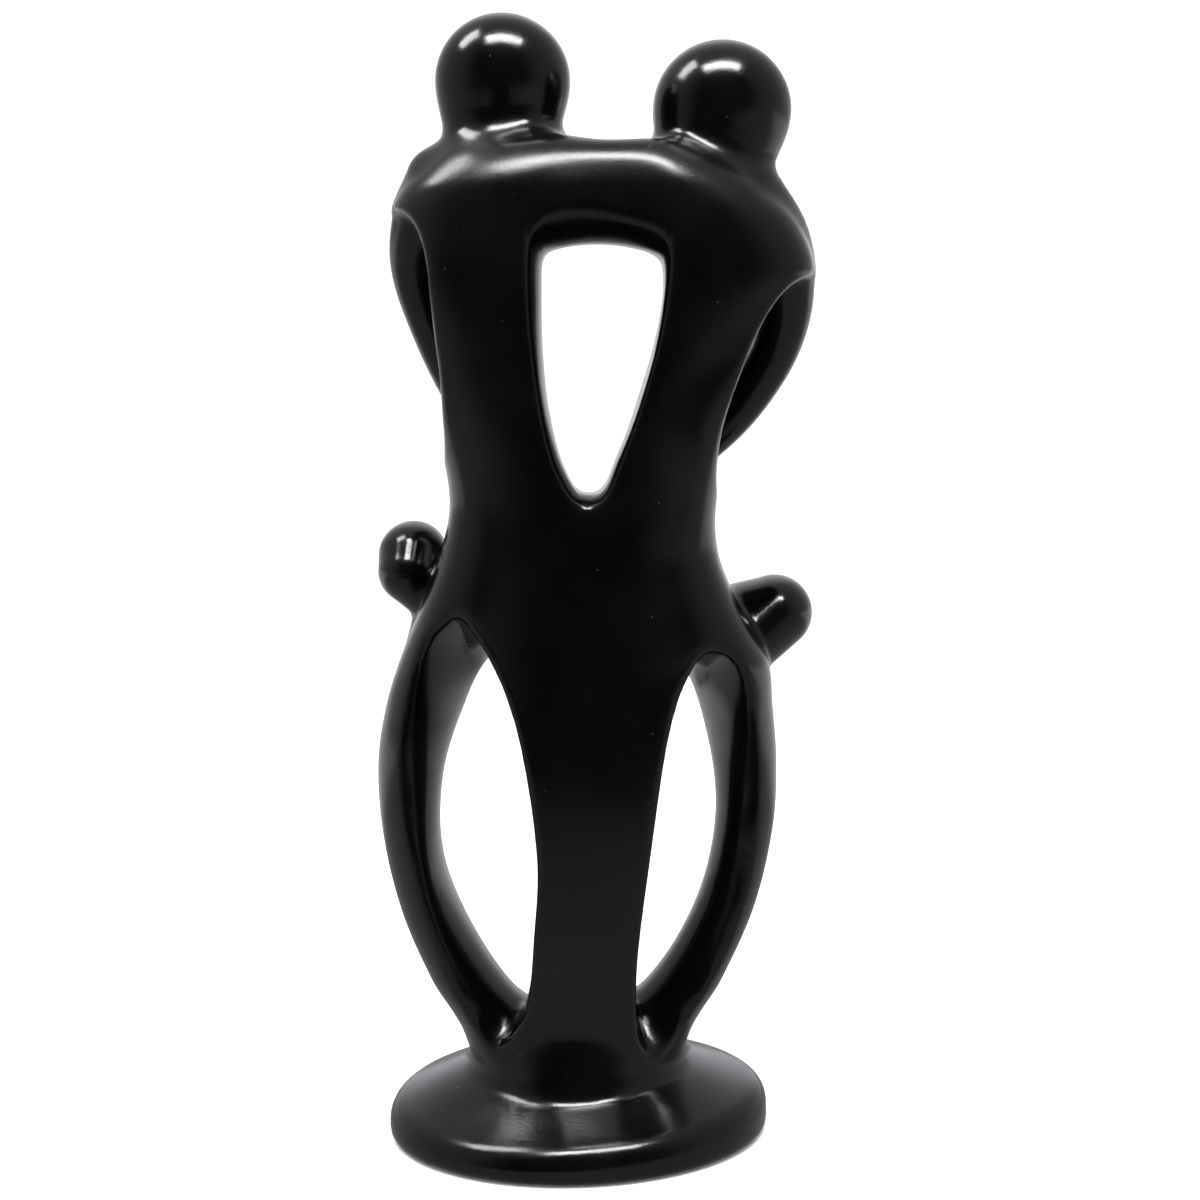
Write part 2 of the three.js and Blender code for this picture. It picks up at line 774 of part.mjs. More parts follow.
function geometryOf({ points, faces }) {
  const used = [...new Set(faces.flat())];
  const place = new Map(used.map((v, i) => [v, i]));
  const grounded = used.map((v) => points[v].map((c, k) => (k === 2 && c < GROUND_SNAP ? 0 : c)));
  const geometry = new THREE.BufferGeometry();
  geometry.setAttribute("position", new THREE.Float32BufferAttribute(grounded.flat(), 3));
  geometry.setIndex(faces.flat().map((v) => place.get(v)));
  geometry.computeVertexNormals();
  return geometry;
}

const carved = thin(meshOf(stoneDistance), TRIANGLES);
const carving = new THREE.Mesh(geometryOf(carved), new THREE.MeshStandardMaterial(STONE));
carving.name = "family_carving";

const sculpture = new THREE.Group();
sculpture.add(carving);

export default sculpture;
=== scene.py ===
import math

import bpy
import numpy as np
from mathutils import Matrix, Vector


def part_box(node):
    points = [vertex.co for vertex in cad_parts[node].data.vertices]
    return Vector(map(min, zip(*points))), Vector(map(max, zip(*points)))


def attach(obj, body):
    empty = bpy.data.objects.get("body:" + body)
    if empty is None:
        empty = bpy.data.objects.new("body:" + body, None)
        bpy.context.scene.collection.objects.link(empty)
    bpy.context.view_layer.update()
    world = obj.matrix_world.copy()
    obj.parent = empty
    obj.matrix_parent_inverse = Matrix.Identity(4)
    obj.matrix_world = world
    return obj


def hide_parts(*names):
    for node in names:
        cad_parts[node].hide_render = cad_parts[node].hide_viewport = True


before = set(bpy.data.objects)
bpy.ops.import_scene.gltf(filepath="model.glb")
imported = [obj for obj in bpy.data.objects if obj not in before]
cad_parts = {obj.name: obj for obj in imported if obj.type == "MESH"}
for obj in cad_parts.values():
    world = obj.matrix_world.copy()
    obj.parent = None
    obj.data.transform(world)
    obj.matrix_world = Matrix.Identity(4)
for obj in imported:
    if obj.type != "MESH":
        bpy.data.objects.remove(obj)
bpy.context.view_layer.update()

# A family of two parents and two children, carved with its round base from one piece of soapstone.
# The form is a signed distance, negative inside the stone, in millimetres, as it is for the solid.
# Its zero level becomes one fine mesh, polished and streaked as the stone is.

MM = 0.001
TINY = 1e-9

# Base: a low dome with a rounded rim, as rows of radius and height
BASE_RADIUS = 51.9
BASE_RIM_ROUND = 4.5
BASE_DOME_SLOPE = 0.92
BASE_EDGE_ROUND = 3.5
BASE_DOME = [(0, 23.8), (22, 23), (30, 19.9), (38, 17), (44, 14.8), (48, 13.2), (54, 10.8)]
# The rim is rubbed down lower at the near left: depth, direction, and the radii between which it sets in
BASE_DIP = 4.2
BASE_DIP_TURN = math.radians(30)
BASE_DIP_RADII = (26, 48)

# The whole figure leans to its right on the base
LEAN = math.radians(1.5)

# Outer mass of hub, hips, torsos and shoulders: height, left, right, near depth, far depth, squareness
MASS = [
    (20, -29, 28.2, 33.6, 27, 2),
    (29, -32.2, 31.2, 31.3, 27, 2.1),
    (34, -34.9, 33.9, 30.6, 25.4, 2.2),
    (43, -40.6, 39.6, 31, 22, 2.3),
    (63, -48.8, 48.2, 32.5, 18, 2.4),
    (85, -53.6, 53.2, 34, 17.5, 2.4),
    (103, -54.5, 54, 35, 20, 2.3),
    (118, -52.2, 52.8, 35, 26, 2.3),
    (131, -48.1, 51.3, 34.5, 31.5, 2.5),
    (146, -42, 43.2, 33.5, 32, 3),
    (160, -36.8, 37.5, 33, 32, 3.4),
    (174, -34.3, 37, 32.5, 31, 3.8),
    (192, -37.8, 41.5, 32.5, 31, 3.6),
    (212, -45, 55, 32.5, 31, 3.2),
    (232, -50.2, 62.8, 32.5, 31, 3),
    (247, -50.8, 61.4, 32.4, 30.5, 2.8),
    (255, -49.5, 57.4, 31.7, 30.3, 2.7),
    (259, -47.6, 55.2, 30.4, 30, 2.7),
    (264.5, -44.6, 52, 27.6, 29.5, 2.7),
    (268, -42.2, 49.3, 25.2, 29, 2.7),
    (276, -36, 42.6, 18, 28, 2.7),
]

# Crest of the shoulders: across, height, rounding
CREST = [
    (-60, 259, 22), (-44, 267, 22), (-34, 271.8, 22), (-22, 272.6, 20), (-8, 270.2, 12), (6, 267.8, 7),
    (20, 268.2, 9), (32, 268.5, 20), (46, 265.5, 26), (64, 256, 26),
]

# Parents' heads: centre, radii, foot of the neck, neck radius, fillet to the shoulders
HEADS = [
    ((-20.2, 6, 285.4), (17.8, 20, 17.4), (-20.6, 0.2, 262), 15.3, 7),
    ((38.8, 6, 278.1), (18.3, 20, 17.9), (35.4, 0.2, 256), 15.5, 5.5),
]
NECK_REACH = 0.8
NECK_FILLET = 6

# Outer arms, from the shoulders round to the belly on the far side: across, depth, height, radius
ARMS = [
    [
        (-36, -2, 258, 10), (-42, 3, 247, 8.2), (-44.4, 9, 237, 6.6), (-41.6, 16, 223.5, 6),
        (-30, 29, 199, 6.2), (-18, 33.5, 188, 6.5), (-2, 33.5, 180, 6.3),
    ],
    [
        (43, -2, 254, 12), (53, 2, 243, 9.3), (56.6, 8, 229, 7.4), (54.8, 15, 216, 6.6),
        (48.6, 22, 203.8, 6.3), (39.2, 28, 192.5, 6.3), (25, 33, 182, 6.5), (8, 33.5, 175, 6.3),
    ],
]
ARM_DEPTH_STRETCH = 1.25
ARM_FILLET = 3

# Children: bodies along the far half of the bows, and heads that lean outwards
CHILD_BODIES = [
    [
        (-36.8, 17, 147, 8), (-39.2, 15.5, 132, 8.3), (-44, 12.5, 112, 8.6), (-44.4, 10.5, 90, 8.6),
        (-40.5, 9.5, 68, 8.6), (-32, 9, 46, 8.3), (-22, 8, 28, 8),
    ],
    [
        (41, 17, 137, 8.5), (43.2, 15.5, 126, 8.5), (44.6, 12.5, 110, 8.6), (44.4, 10.5, 90, 8.6),
        (40.6, 9.5, 68, 8.6), (32, 9, 46, 8.3), (22, 8, 28, 8),
    ],
]
CHILD_BODY_FILLET = 6
CHILD_HEADS = [
    [(-46.1, 18.5, 157.1, 9.7), (-46.5, 14.5, 153.1, 9.05), (-42, 16, 148.8, 8.6)],
    [(47, 19, 138.2, 11.6), (54.7, 17.5, 141.4, 10.4), (46, 13, 134.5, 10.4)],
]
CHILD_HEAD_DEPTH_STRETCH = 1.5
CHILD_HEAD_FILLET = 2

# Holes, carved from both sides and narrowest at a waist between: outlines as across, height
# Their depths: height, waist on the left and right, far mouth, how gently the wall turns, how it starts
WINDOW_DEPTHS = [
    (170, -25, -25, 30, 1.3, 0.8), (190, -20, -28, 30, 1.6, 0.8), (232, -17, -28, 30, 1.8, 0.8),
    (242, -17, -21, 30, 1.6, 0.8), (250, -18, -20, 30, 1.6, 0.8),
]
WINDOW_MOUTH = [
    (-13.2, 228), (-13.2, 238), (-12.4, 243.5), (-9.8, 247), (-4.5, 249.3), (1.5, 249.8), (7, 249),
    (14, 247), (20.5, 245), (23.4, 243.2), (24.5, 237), (23.9, 226.5), (20.6, 213.5), (17.4, 203.5),
    (14, 192.3), (10.2, 182.6), (6.6, 174.6), (2.2, 171.9), (-1.9, 175.2), (-6.2, 183.6),
    (-8.6, 192.4), (-10.6, 203.6), (-12.5, 218),
]
WINDOW_WAIST = [
    (-9.1, 237), (-9.4, 226.1), (-9.2, 214.6), (-8.3, 203.2), (-6.3, 191.6), (-3.7, 183),
    (-0.3, 177), (1.5, 176.2), (6.1, 176.7), (10.4, 185.8), (14.5, 195.7), (17.7, 205.5),
    (20.3, 215.8), (22.2, 227.2), (22.4, 234.1), (21.6, 237.2), (19, 238.8), (12.1, 240.6),
    (3.5, 241.1), (-4, 240.2), (-8, 239),
]
CAGE_DEPTHS = [
    (20, -2, -2, 20, 2, 0.6), (60, -3, -3, 20, 2, 0.55), (85, -5, -5, 20, 2, 0.5),
    (100, -1, -1, 23, 1.9, 0.5), (112, 8, 8, 27, 1.5, 0.55), (124, 14, 14, 29, 1.2, 0.7),
    (136, 17, 17, 31, 1.1, 0.8), (150, 18, 18, 31, 1.1, 0.8),
]
CAGE_MOUTH = [
    (0, 23.5), (-20, 26.8), (-25.3, 30), (-33, 43.3), (-38.8, 59), (-43.6, 77), (-47.2, 104), (-44, 125),
    (-40.5, 136.3), (-36.5, 141.6), (-31.5, 145), (-27.5, 144), (-20, 138.5), (0, 134), (22, 132.5),
    (30, 134.2), (35.3, 135.8), (40.2, 134), (43.8, 129.4), (47.3, 112.5), (48.1, 98), (46.6, 77),
    (43.8, 65), (39.6, 52.8), (33.4, 41), (25.4, 29.8), (19.4, 25.8),
]
CAGE_WAIST = [
    (0.3, 34.1), (-13.9, 36.7), (-29.3, 57.1), (-36.8, 77.1), (-36.9, 98.8), (-32.8, 113.4),
    (-25.2, 128.5), (-13.2, 135.2), (0.1, 137.2), (16.5, 134.8), (27.9, 128.1), (34.7, 111.5),
    (37.3, 89.2), (32.7, 65.9), (22.6, 46.5), (13.4, 37.4),
]
LEAST_WAIST_DEPTH = 1
HOLE_FAR_SHARE = 0.3

# Gaps between the arms and the torsos: outlines at a near depth and at a far depth
SLIT_DEPTHS = (-26, 32)
LEFT_SLIT_NEAR = [
    (-75, 176), (-38, 184), (-36, 198), (-38.1, 222.8), (-40.4, 240.5), (-44.6, 247.8),
    (-54, 250.8), (-75, 252),
]
LEFT_SLIT_FAR = [(-75, 170), (-38, 177), (-26.5, 207), (-27, 236), (-44, 251), (-75, 253)]
RIGHT_SLIT_NEAR = [
    (80, 166), (39.5, 175), (37.5, 188), (44.5, 213.2), (52, 226.4), (58.5, 231.4), (80, 234),
]
RIGHT_SLIT_FAR = [(80, 160), (41, 168), (32.5, 193), (39, 221), (57, 234), (80, 236)]
SLIT_REACH = (-0.35, 1.4)

# Centre leg: its outline widens upwards into the hips
LEG = [
    (-30, 20), (-15.6, 35), (-11.3, 63.5), (-10.8, 83.7), (-18.2, 123.2), (-31, 145.5), (-60, 175),
    (0, 200), (60, 175), (35, 139), (26.2, 123.2), (19.3, 83.7), (15.4, 43.7), (17.5, 29), (28, 20),
]
LEG_DEPTH = 24
LEG_BACK_ROUND = 8

# Rounding of the edges along every opening, and of the corner where the figure meets its base
ARRIS = 2
HUB_FILLET = 3.5

# Mesh grid, samples along a curve, and how the points settle on the surface
LOW = (-58, -56, -2.5)
HIGH = (76, 56, 308)
CELL = 1.3
OUTLINE_STEPS = 6
LIMB_STEPS = 6
SLOPE_STEP = 0.05
SETTLE_STEPS = 2

# The hand-rubbed surface isn't quite even: depth of its waves, the shortest one, their number and growth
UNEVEN_DEPTH = 0.05
UNEVEN_WAVE = 22
UNEVEN_WAVES = 7
UNEVEN_GROWTH = 0.35
GOLDEN_ANGLE = math.pi * (3 - math.sqrt(5))
# The underside is flat up to this height
UNDERSIDE_HEIGHT = 1

# Roughness of the polish, with the shoulders hazier between the heights given
POLISH = 0.17
POLISH_STREAKS = (-0.025, 0.035)
SHOULDER_HAZE = 0.07
SHOULDER_HEIGHTS = (228, 250, 262, 272)
SCRATCH_HAZE = 0.05

# Colours of the stone, of its clouds and of the dust in its specks
STONE_BLACK = (0.0006, 0.0006, 0.0007, 1)
STONE_CLOUD = (0.0016, 0.0014, 0.002, 1)
STONE_DUST = (0.03, 0.028, 0.027, 1)

# Noises in the stone: size and detail, and the range of each that shows
CLOUDS = (26, 4)
CLOUD_RANGE = (0.35, 0.7)
STREAKS = (9, 3)
STREAK_RANGE = (0.3, 0.7)
GRAIN = (0.9, 2)
GRAIN_DEPTH = 0.02
SCRATCHES = (0.8, 1)
SCRATCH_RANGE = (0.7, 0.82)
SCRATCH_STRETCH = 0.03
SCRATCH_DEPTH = 0.004
SCRATCH_TURNS = [(0.5, 1.2, 0.3), (1.1, 0.2, 1.9)]

# Pin specks: spacing, inner and outer radius, depth
SPECK_GAP = 7
SPECK_RADII = (0.1, 0.3)
SPECK_DEPTH = 0.1

# Camera, at the photograph's viewing angle: place, how far it looks down, roll, lens and sensor
CAMERA_PLACE = (9.7, -630.2, 204.7)
CAMERA_DOWN = math.radians(5.315)
CAMERA_ROLL = math.radians(-1.5)
CAMERA_LENS = 69.9
CAMERA_SENSOR = 36

# Tent: its white, and what the gloss sees of it from the front (-1) round to the back (1)
TENT_WHITE = 1.3
TENT_GLOSS = [
    (-1, 0), (-0.74, 0), (-0.62, 0.06), (-0.48, 0.18), (-0.28, 0.25), (0.3, 0.3), (0.6, 0.36),
    (0.8, 0.42), (0.9, 0.6), (0.96, 1),
]
TENT_TINT = (0.97, 0.94, 1)
TENT_FLATTEN = 0.4

# Floor in metres: left, right, front, back, and its own look
FLOOR_REACH = (-6, 6, -4, 6)
FLOOR_WHITE = (0.95, 0.95, 0.95, 1)
FLOOR_ROUGHNESS = 0.9
# Painted reflection: what the gloss sees of the floor is a glow, black far in front, grey near the stone
# and out to the sides, brighter towards the back, each rising between two distances
FLOOR_FRONT = (-0.47, -0.14)
FLOOR_SIDE = (0.5, 1.1)
FLOOR_BACK = (0.12, 0.5)
FLOOR_GLOSS_GLOW = 0.3
FLOOR_BACK_GLOSS_GLOW = 0.75

# Soft boxes: place, size, aim, and how bright each looks
LAMPS = {
    "lamp_top": ((55, -200, 900), (580, 180), (55, -200, 0), 26),
    "lamp_left": ((-490, 95, 900), (240, 370), (-200, 60, 0), 12),
}


def smooth_join(a, b, rounding):
    h = np.clip(0.5 + 0.5 * (b - a) / rounding, 0, 1)
    return b + (a - b) * h - rounding * h * (1 - h)


def smooth_cut(a, b, rounding):
    return -smooth_join(-a, -b, rounding)


def curve_through(rows, steps, closed):
    """A smooth curve through rows of numbers, sampled evenly between each pair of rows."""
    rows = np.array(rows, float)
    count = len(rows)
    if closed:
        padded = np.vstack([rows[-1], rows, rows[:2]])
    else:
        padded = np.vstack([2 * rows[0] - rows[1], rows, 2 * rows[-1] - rows[-2]])
    gaps = np.sqrt(np.linalg.norm(np.diff(padded, axis=0), axis=1))
    samples = []
    for i in range(count if closed else count - 1):
        p0, p1, p2, p3 = padded[i : i + 4]
        d1, d2, d3 = gaps[i : i + 3]
        run = p2 - p1
        m1 = run + d2 * ((p1 - p0) / d1 - (p2 - p0) / (d1 + d2))
        m2 = run + d2 * ((p3 - p2) / d3 - (p3 - p1) / (d2 + d3))
        for t in np.arange(steps)[:, None] / steps:
            samples.append(p1 + t * (m1 + t * (3 * run - 2 * m1 - m2 + t * (m1 + m2 - 2 * run))))
    if not closed:
        samples.append(rows[-1])
    return np.vstack(samples)


def profile_at(rows, at, column):
    """One column of a table at heights or radii, smoothly between the rows given."""
    rows = np.array(rows, float)
    keys, values = rows[:, 0], rows[:, column]
    places = np.arange(len(rows))
    low, high = np.maximum(places - 1, 0), np.minimum(places + 1, len(rows) - 1)
    slopes = (values[high] - values[low]) / (keys[high] - keys[low])
    i = np.clip(np.searchsorted(keys, at) - 1, 0, len(rows) - 2)
    span = keys[i + 1] - keys[i]
    t = np.clip((at - keys[i]) / span, 0, 1)
    rise = values[i + 1] - values[i]
    m1, m2 = slopes[i] * span, slopes[i + 1] * span
    return values[i] + t * (m1 + t * (3 * rise - 2 * m1 - m2 + t * (m1 + m2 - 2 * rise)))


def outline_distance(points, x, z):
    """Signed distance in the plane to a closed outline, negative inside."""
    nearest = np.full(np.broadcast(x, z).shape, np.inf)
    inside = np.zeros(nearest.shape, bool)
    for (ax, az), (bx, bz) in zip(points, np.roll(points, -1, axis=0)):
        ex, ez = bx - ax, bz - az
        wx, wz = x - ax, z - az
        t = np.clip((wx * ex + wz * ez) / (ex * ex + ez * ez), 0, 1)
        nearest = np.minimum(nearest, (wx - ex * t) ** 2 + (wz - ez * t) ** 2)
        left = ex * wz > ez * wx
        inside ^= ((z >= az) & (z < bz) & left) | ((z < az) & (z >= bz) & ~left)
    return np.where(inside, -1, 1) * np.sqrt(nearest)


def slit_distance(near, far, x, y, z):
    near_distance = outline_distance(curve_through(near, OUTLINE_STEPS, False), x, z)
    far_distance = outline_distance(curve_through(far, OUTLINE_STEPS, False), x, z)
    share = np.clip((y - SLIT_DEPTHS[0]) / (SLIT_DEPTHS[1] - SLIT_DEPTHS[0]), *SLIT_REACH)
    return near_distance + (far_distance - near_distance) * share


def near_face(x, z):
    """Depth of the near face of the outer mass."""
    left, right, near, square = [profile_at(MASS, z, column) for column in (1, 2, 3, 5)]
    u = np.minimum(np.abs(x - (left + right) / 2) / ((right - left) / 2), 1)
    return -near * (1 - u**square) ** (1 / square)


def hole_distance(mouth, waist, depths, x, y, z):
    """Distance to a hole: from its mouth in the near face to its waist, then wider again behind."""
    columns = [profile_at(depths, z, column) for column in range(1, 6)]
    left_waist, right_waist, far_depth, turn, start = columns
    leftmost, rightmost = min(x for x, z in waist), max(x for x, z in waist)
    side = np.clip((x - leftmost) / (rightmost - leftmost), 0, 1)
    waist_depth = left_waist + (right_waist - left_waist) * side
    mouth_distance = outline_distance(curve_through(mouth, OUTLINE_STEPS, True), x, z)
    waist_distance = outline_distance(curve_through(waist, OUTLINE_STEPS, True), x, z)
    edge = x + np.sign(x) * np.maximum(-mouth_distance, 0)
    face = np.minimum(near_face(edge, z), waist_depth - LEAST_WAIST_DEPTH)
    rise = np.clip((y - face) / (waist_depth - face), 0, 1)
    fall = np.clip((y - waist_depth) / (far_depth - waist_depth), 0, 1)
    share = (1 - (1 - rise) ** turn) ** start - (1 - HOLE_FAR_SHARE) * fall**2
    return mouth_distance + (waist_distance - mouth_distance) * share


def limb_distance(stations, stretch, x, y, z):
    """Distance to a limb: a chain of tapering capsules, stretched in depth."""
    nearest = np.full(np.broadcast(x, y, z).shape, np.inf)
    for a, b in zip(stations[:-1], stations[1:]):
        ex, ey, ez = b[0] - a[0], (b[1] - a[1]) / stretch, b[2] - a[2]
        wx, wy, wz = x - a[0], (y - a[1]) / stretch, z - a[2]
        t = np.clip((wx * ex + wy * ey + wz * ez) / (ex * ex + ey * ey + ez * ez), 0, 1)
        off = np.sqrt((wx - ex * t) ** 2 + (wy - ey * t) ** 2 + (wz - ez * t) ** 2)
        nearest = np.minimum(nearest, off - (a[3] + (b[3] - a[3]) * t))
    return nearest


def egg_distance(centre, radii, x, y, z):
    offsets = [p - c for p, c in zip((x, y, z), centre)]
    scaled = np.sqrt(sum((o / r) ** 2 for o, r in zip(offsets, radii)))
    slope = np.sqrt(sum((o / r**2) ** 2 for o, r in zip(offsets, radii)))
    return scaled * (scaled - 1) / np.maximum(slope, TINY)


def mass_distance(x, y, z):
    left, right, near, far, square = [profile_at(MASS, z, column) for column in range(1, 6)]
    across = x - (left + right) / 2
    u = np.abs(across) / ((right - left) / 2)
    v = np.abs(y) / np.where(y < 0, near, far)
    reach = (u**square + v**square) ** (1 / square)
    mass = np.sqrt(across**2 + y**2) * (1 - 1 / np.maximum(reach, TINY))
    return smooth_cut(mass, z - profile_at(CREST, x, 1), profile_at(CREST, x, 2))


def head_distance(centre, radii, foot, neck_radius, x, y, z):
    top = (foot[0] + (centre[0] - foot[0]) * NECK_REACH, foot[1], centre[2], neck_radius)
    neck = limb_distance([(*foot, neck_radius), top], 1, x, y, z)
    return smooth_join(egg_distance(centre, radii, x, y, z), neck, NECK_FILLET)


def cage_distance(x, y, z):
    """The space below the hips, without the centre leg that stands in it."""
    back = y + profile_at(MASS, z, 3) - LEG_DEPTH
    outline = outline_distance(curve_through(LEG, OUTLINE_STEPS, True), x, z)
    leg = smooth_cut(outline, back, LEG_BACK_ROUND)
    return smooth_cut(hole_distance(CAGE_MOUTH, CAGE_WAIST, CAGE_DEPTHS, x, y, z), -leg, ARRIS)


def base_distance(x, y, z):
    radius = np.sqrt(x**2 + y**2)
    inner, outer = BASE_DIP_RADII
    reach = np.clip((radius - inner) / (outer - inner), 0, 1)
    aside = (x * math.sin(BASE_DIP_TURN) + y * math.cos(BASE_DIP_TURN)) / BASE_RADIUS
    dip = BASE_DIP * reach**2 * (3 - 2 * reach) * ((1 - aside) / 2) ** 2
    dome = (z - profile_at(BASE_DOME, radius, 1) + dip) * BASE_DOME_SLOPE
    return smooth_cut(dome, radius - BASE_RADIUS, BASE_RIM_ROUND)


def stone_distance(world_x, y, world_z):
    x = world_x * math.cos(LEAN) - world_z * math.sin(LEAN)
    z = world_z * math.cos(LEAN) + world_x * math.sin(LEAN)
    stone = mass_distance(x, y, z)
    for body in CHILD_BODIES:
        limb = limb_distance(curve_through(body, LIMB_STEPS, False), 1, x, y, z)
        stone = smooth_join(stone, limb, CHILD_BODY_FILLET)
    for near, far in ((LEFT_SLIT_NEAR, LEFT_SLIT_FAR), (RIGHT_SLIT_NEAR, RIGHT_SLIT_FAR)):
        stone = smooth_cut(stone, -slit_distance(near, far, x, y, z), ARRIS)
    for *head, fillet in HEADS:
        stone = smooth_join(stone, head_distance(*head, x, y, z), fillet)
    for arm in ARMS:
        limb = limb_distance(curve_through(arm, LIMB_STEPS, False), ARM_DEPTH_STRETCH, x, y, z)
        stone = smooth_join(stone, limb, ARM_FILLET)
    for head in CHILD_HEADS:
        limb = limb_distance(head, CHILD_HEAD_DEPTH_STRETCH, x, y, z)
        stone = smooth_join(stone, limb, CHILD_HEAD_FILLET)
    window = hole_distance(WINDOW_MOUTH, WINDOW_WAIST, WINDOW_DEPTHS, x, y, z)
    stone = smooth_cut(stone, -window, ARRIS)
    stone = smooth_cut(stone, -cage_distance(x, y, z), ARRIS)
    stone = smooth_join(stone, base_distance(world_x, y, world_z), HUB_FILLET)
    return smooth_cut(stone, -world_z, BASE_EDGE_ROUND)


def net_of(values, low, cell):
    """Surface nets: a point in each grid cell that the zero level crosses, a quad for each grid edge."""
    inside = values < 0
    cells = tuple(n - 1 for n in values.shape)
    total, count = np.zeros((*cells, 3)), np.zeros(cells)
    crossings = []
    for axis in range(3):
        start, end = [slice(None)] * 3, [slice(None)] * 3
        start[axis], end[axis] = slice(0, -1), slice(1, None)
        v0, v1 = values[tuple(start)], values[tuple(end)]
        crossed = inside[tuple(start)] != inside[tuple(end)]
        at = np.argwhere(crossed)
        point = at.astype(float)
        point[:, axis] += v0[crossed] / (v0[crossed] - v1[crossed])
        b, c = (axis + 1) % 3, (axis + 2) % 3
        ring = []
        for down, back in ((0, 0), (1, 0), (1, 1), (0, 1)):
            around = at.copy()
            around[:, b] -= down
            around[:, c] -= back
            key = tuple(around.T)
            np.add.at(total, key, point)
            np.add.at(count, key, 1)
            ring.append(around)
        crossings.append((np.stack(ring, 1), v0[crossed] < 0))
    used = count > 0
    index = np.full(cells, -1)
    index[used] = np.arange(used.sum())
    points = total[used] / count[used][:, None] * cell + low
    faces = []
    for ring, outward in crossings:
        quads = index[tuple(np.moveaxis(ring, -1, 0))]
        faces.append(np.where(outward[:, None], quads, quads[:, ::-1]))
    return points, np.vstack(faces)


def slopes_at(points):
    columns = []
    for axis in range(3):
        step = np.zeros(3)
        step[axis] = SLOPE_STEP
        ahead, behind = stone_distance(*(points + step).T), stone_distance(*(points - step).T)
        columns.append((ahead - behind) / (2 * SLOPE_STEP))
    return np.stack(columns, 1)


def unevenness(points):
    """Long shallow waves in several directions, as rubbing by hand leaves them."""
    total = np.zeros(len(points))
    for k in range(UNEVEN_WAVES):
        turn = k * GOLDEN_ANGLE
        up = 2 * (k + 0.5) / UNEVEN_WAVES - 1
        level = math.sqrt(1 - up**2)
        direction = np.array([math.cos(turn) * level, math.sin(turn) * level, up])
        wave = UNEVEN_WAVE * (1 + UNEVEN_GROWTH * k)
        total += np.sin(points @ direction * (2 * math.pi / wave) + k * k)
    return total * UNEVEN_DEPTH / math.sqrt(UNEVEN_WAVES)


def carve():
    """The points, normals and quads of the polished stone."""
    axes = [np.arange(low, high + CELL, CELL) for low, high in zip(LOW, HIGH)]
    values = stone_distance(axes[0][:, None, None], axes[1][None, :, None], axes[2][None, None, :])
    points, quads = net_of(values, np.array(LOW, float), CELL)
    for _ in range(SETTLE_STEPS):
        slope = slopes_at(points)
        points -= slope * (stone_distance(*points.T) / (slope**2).sum(1))[:, None]
    normals = slopes_at(points)
    normals /= np.linalg.norm(normals, axis=1)[:, None]
    return points, normals, quads


def make_stone(name):
    points, normals, quads = carve()
    above = points[:, 2] > UNDERSIDE_HEIGHT
    points -= normals * (unevenness(points) * above)[:, None]
    low, high = [np.array(corner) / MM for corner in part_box("family_carving")]
    points = np.clip(points, low, high)
    mesh = bpy.data.meshes.new(name)
    mesh.from_pydata(points * MM, [], quads.tolist())
    mesh.polygons.foreach_set("use_smooth", [True] * len(quads))
    mesh.validate()
    mesh.update()
    piece = bpy.data.objects.new(name, mesh)
    bpy.context.collection.objects.link(piece)
    return piece


def add_node(tree, kind, sockets, **settings):
    """A node with its settings, each input socket given a value or linked to another node's output."""
    node = tree.nodes.new(kind)
    for name, value in settings.items():
        setattr(node, name, value)
    for key, value in sockets.items():
        if isinstance(value, bpy.types.NodeSocket):
            tree.links.new(value, node.inputs[key])
        else:
            node.inputs[key].default_value = value
    return node


def add_noise(tree, place, size, detail):
    """Noise whose waves are about as long as the size given in millimetres, from 0 to 1."""
    sockets = {"Vector": place, "Scale": 1 / (size * MM), "Detail": detail}
    return add_node(tree, "ShaderNodeTexNoise", sockets).outputs[0]


def add_range(tree, value, low, high, start, end):
    """A value's range from low to high, carried over to start and end."""
    sockets = {"Value": value, "From Min": low, "From Max": high, "To Min": start, "To Max": end}
    return add_node(tree, "ShaderNodeMapRange", sockets).outputs[0]


def add_math(tree, operation, first, second):
    return add_node(tree, "ShaderNodeMath", {0: first, 1: second}, operation=operation).outputs[0]


def add_scratches(tree, place, turn):
    """Sparse hairlines left by the rubbing, long in one direction."""
    sockets = {"Vector": place, "Rotation": turn, "Scale": (1, 1, SCRATCH_STRETCH)}
    along = add_node(tree, "ShaderNodeMapping", sockets).outputs[0]
    return add_range(tree, add_noise(tree, along, *SCRATCHES), *SCRATCH_RANGE, 0, 1)


def add_mix(tree, share, first, second):
    sockets = {0: share, 6: first, 7: second}
    return add_node(tree, "ShaderNodeMix", sockets, data_type="RGBA").outputs[2]


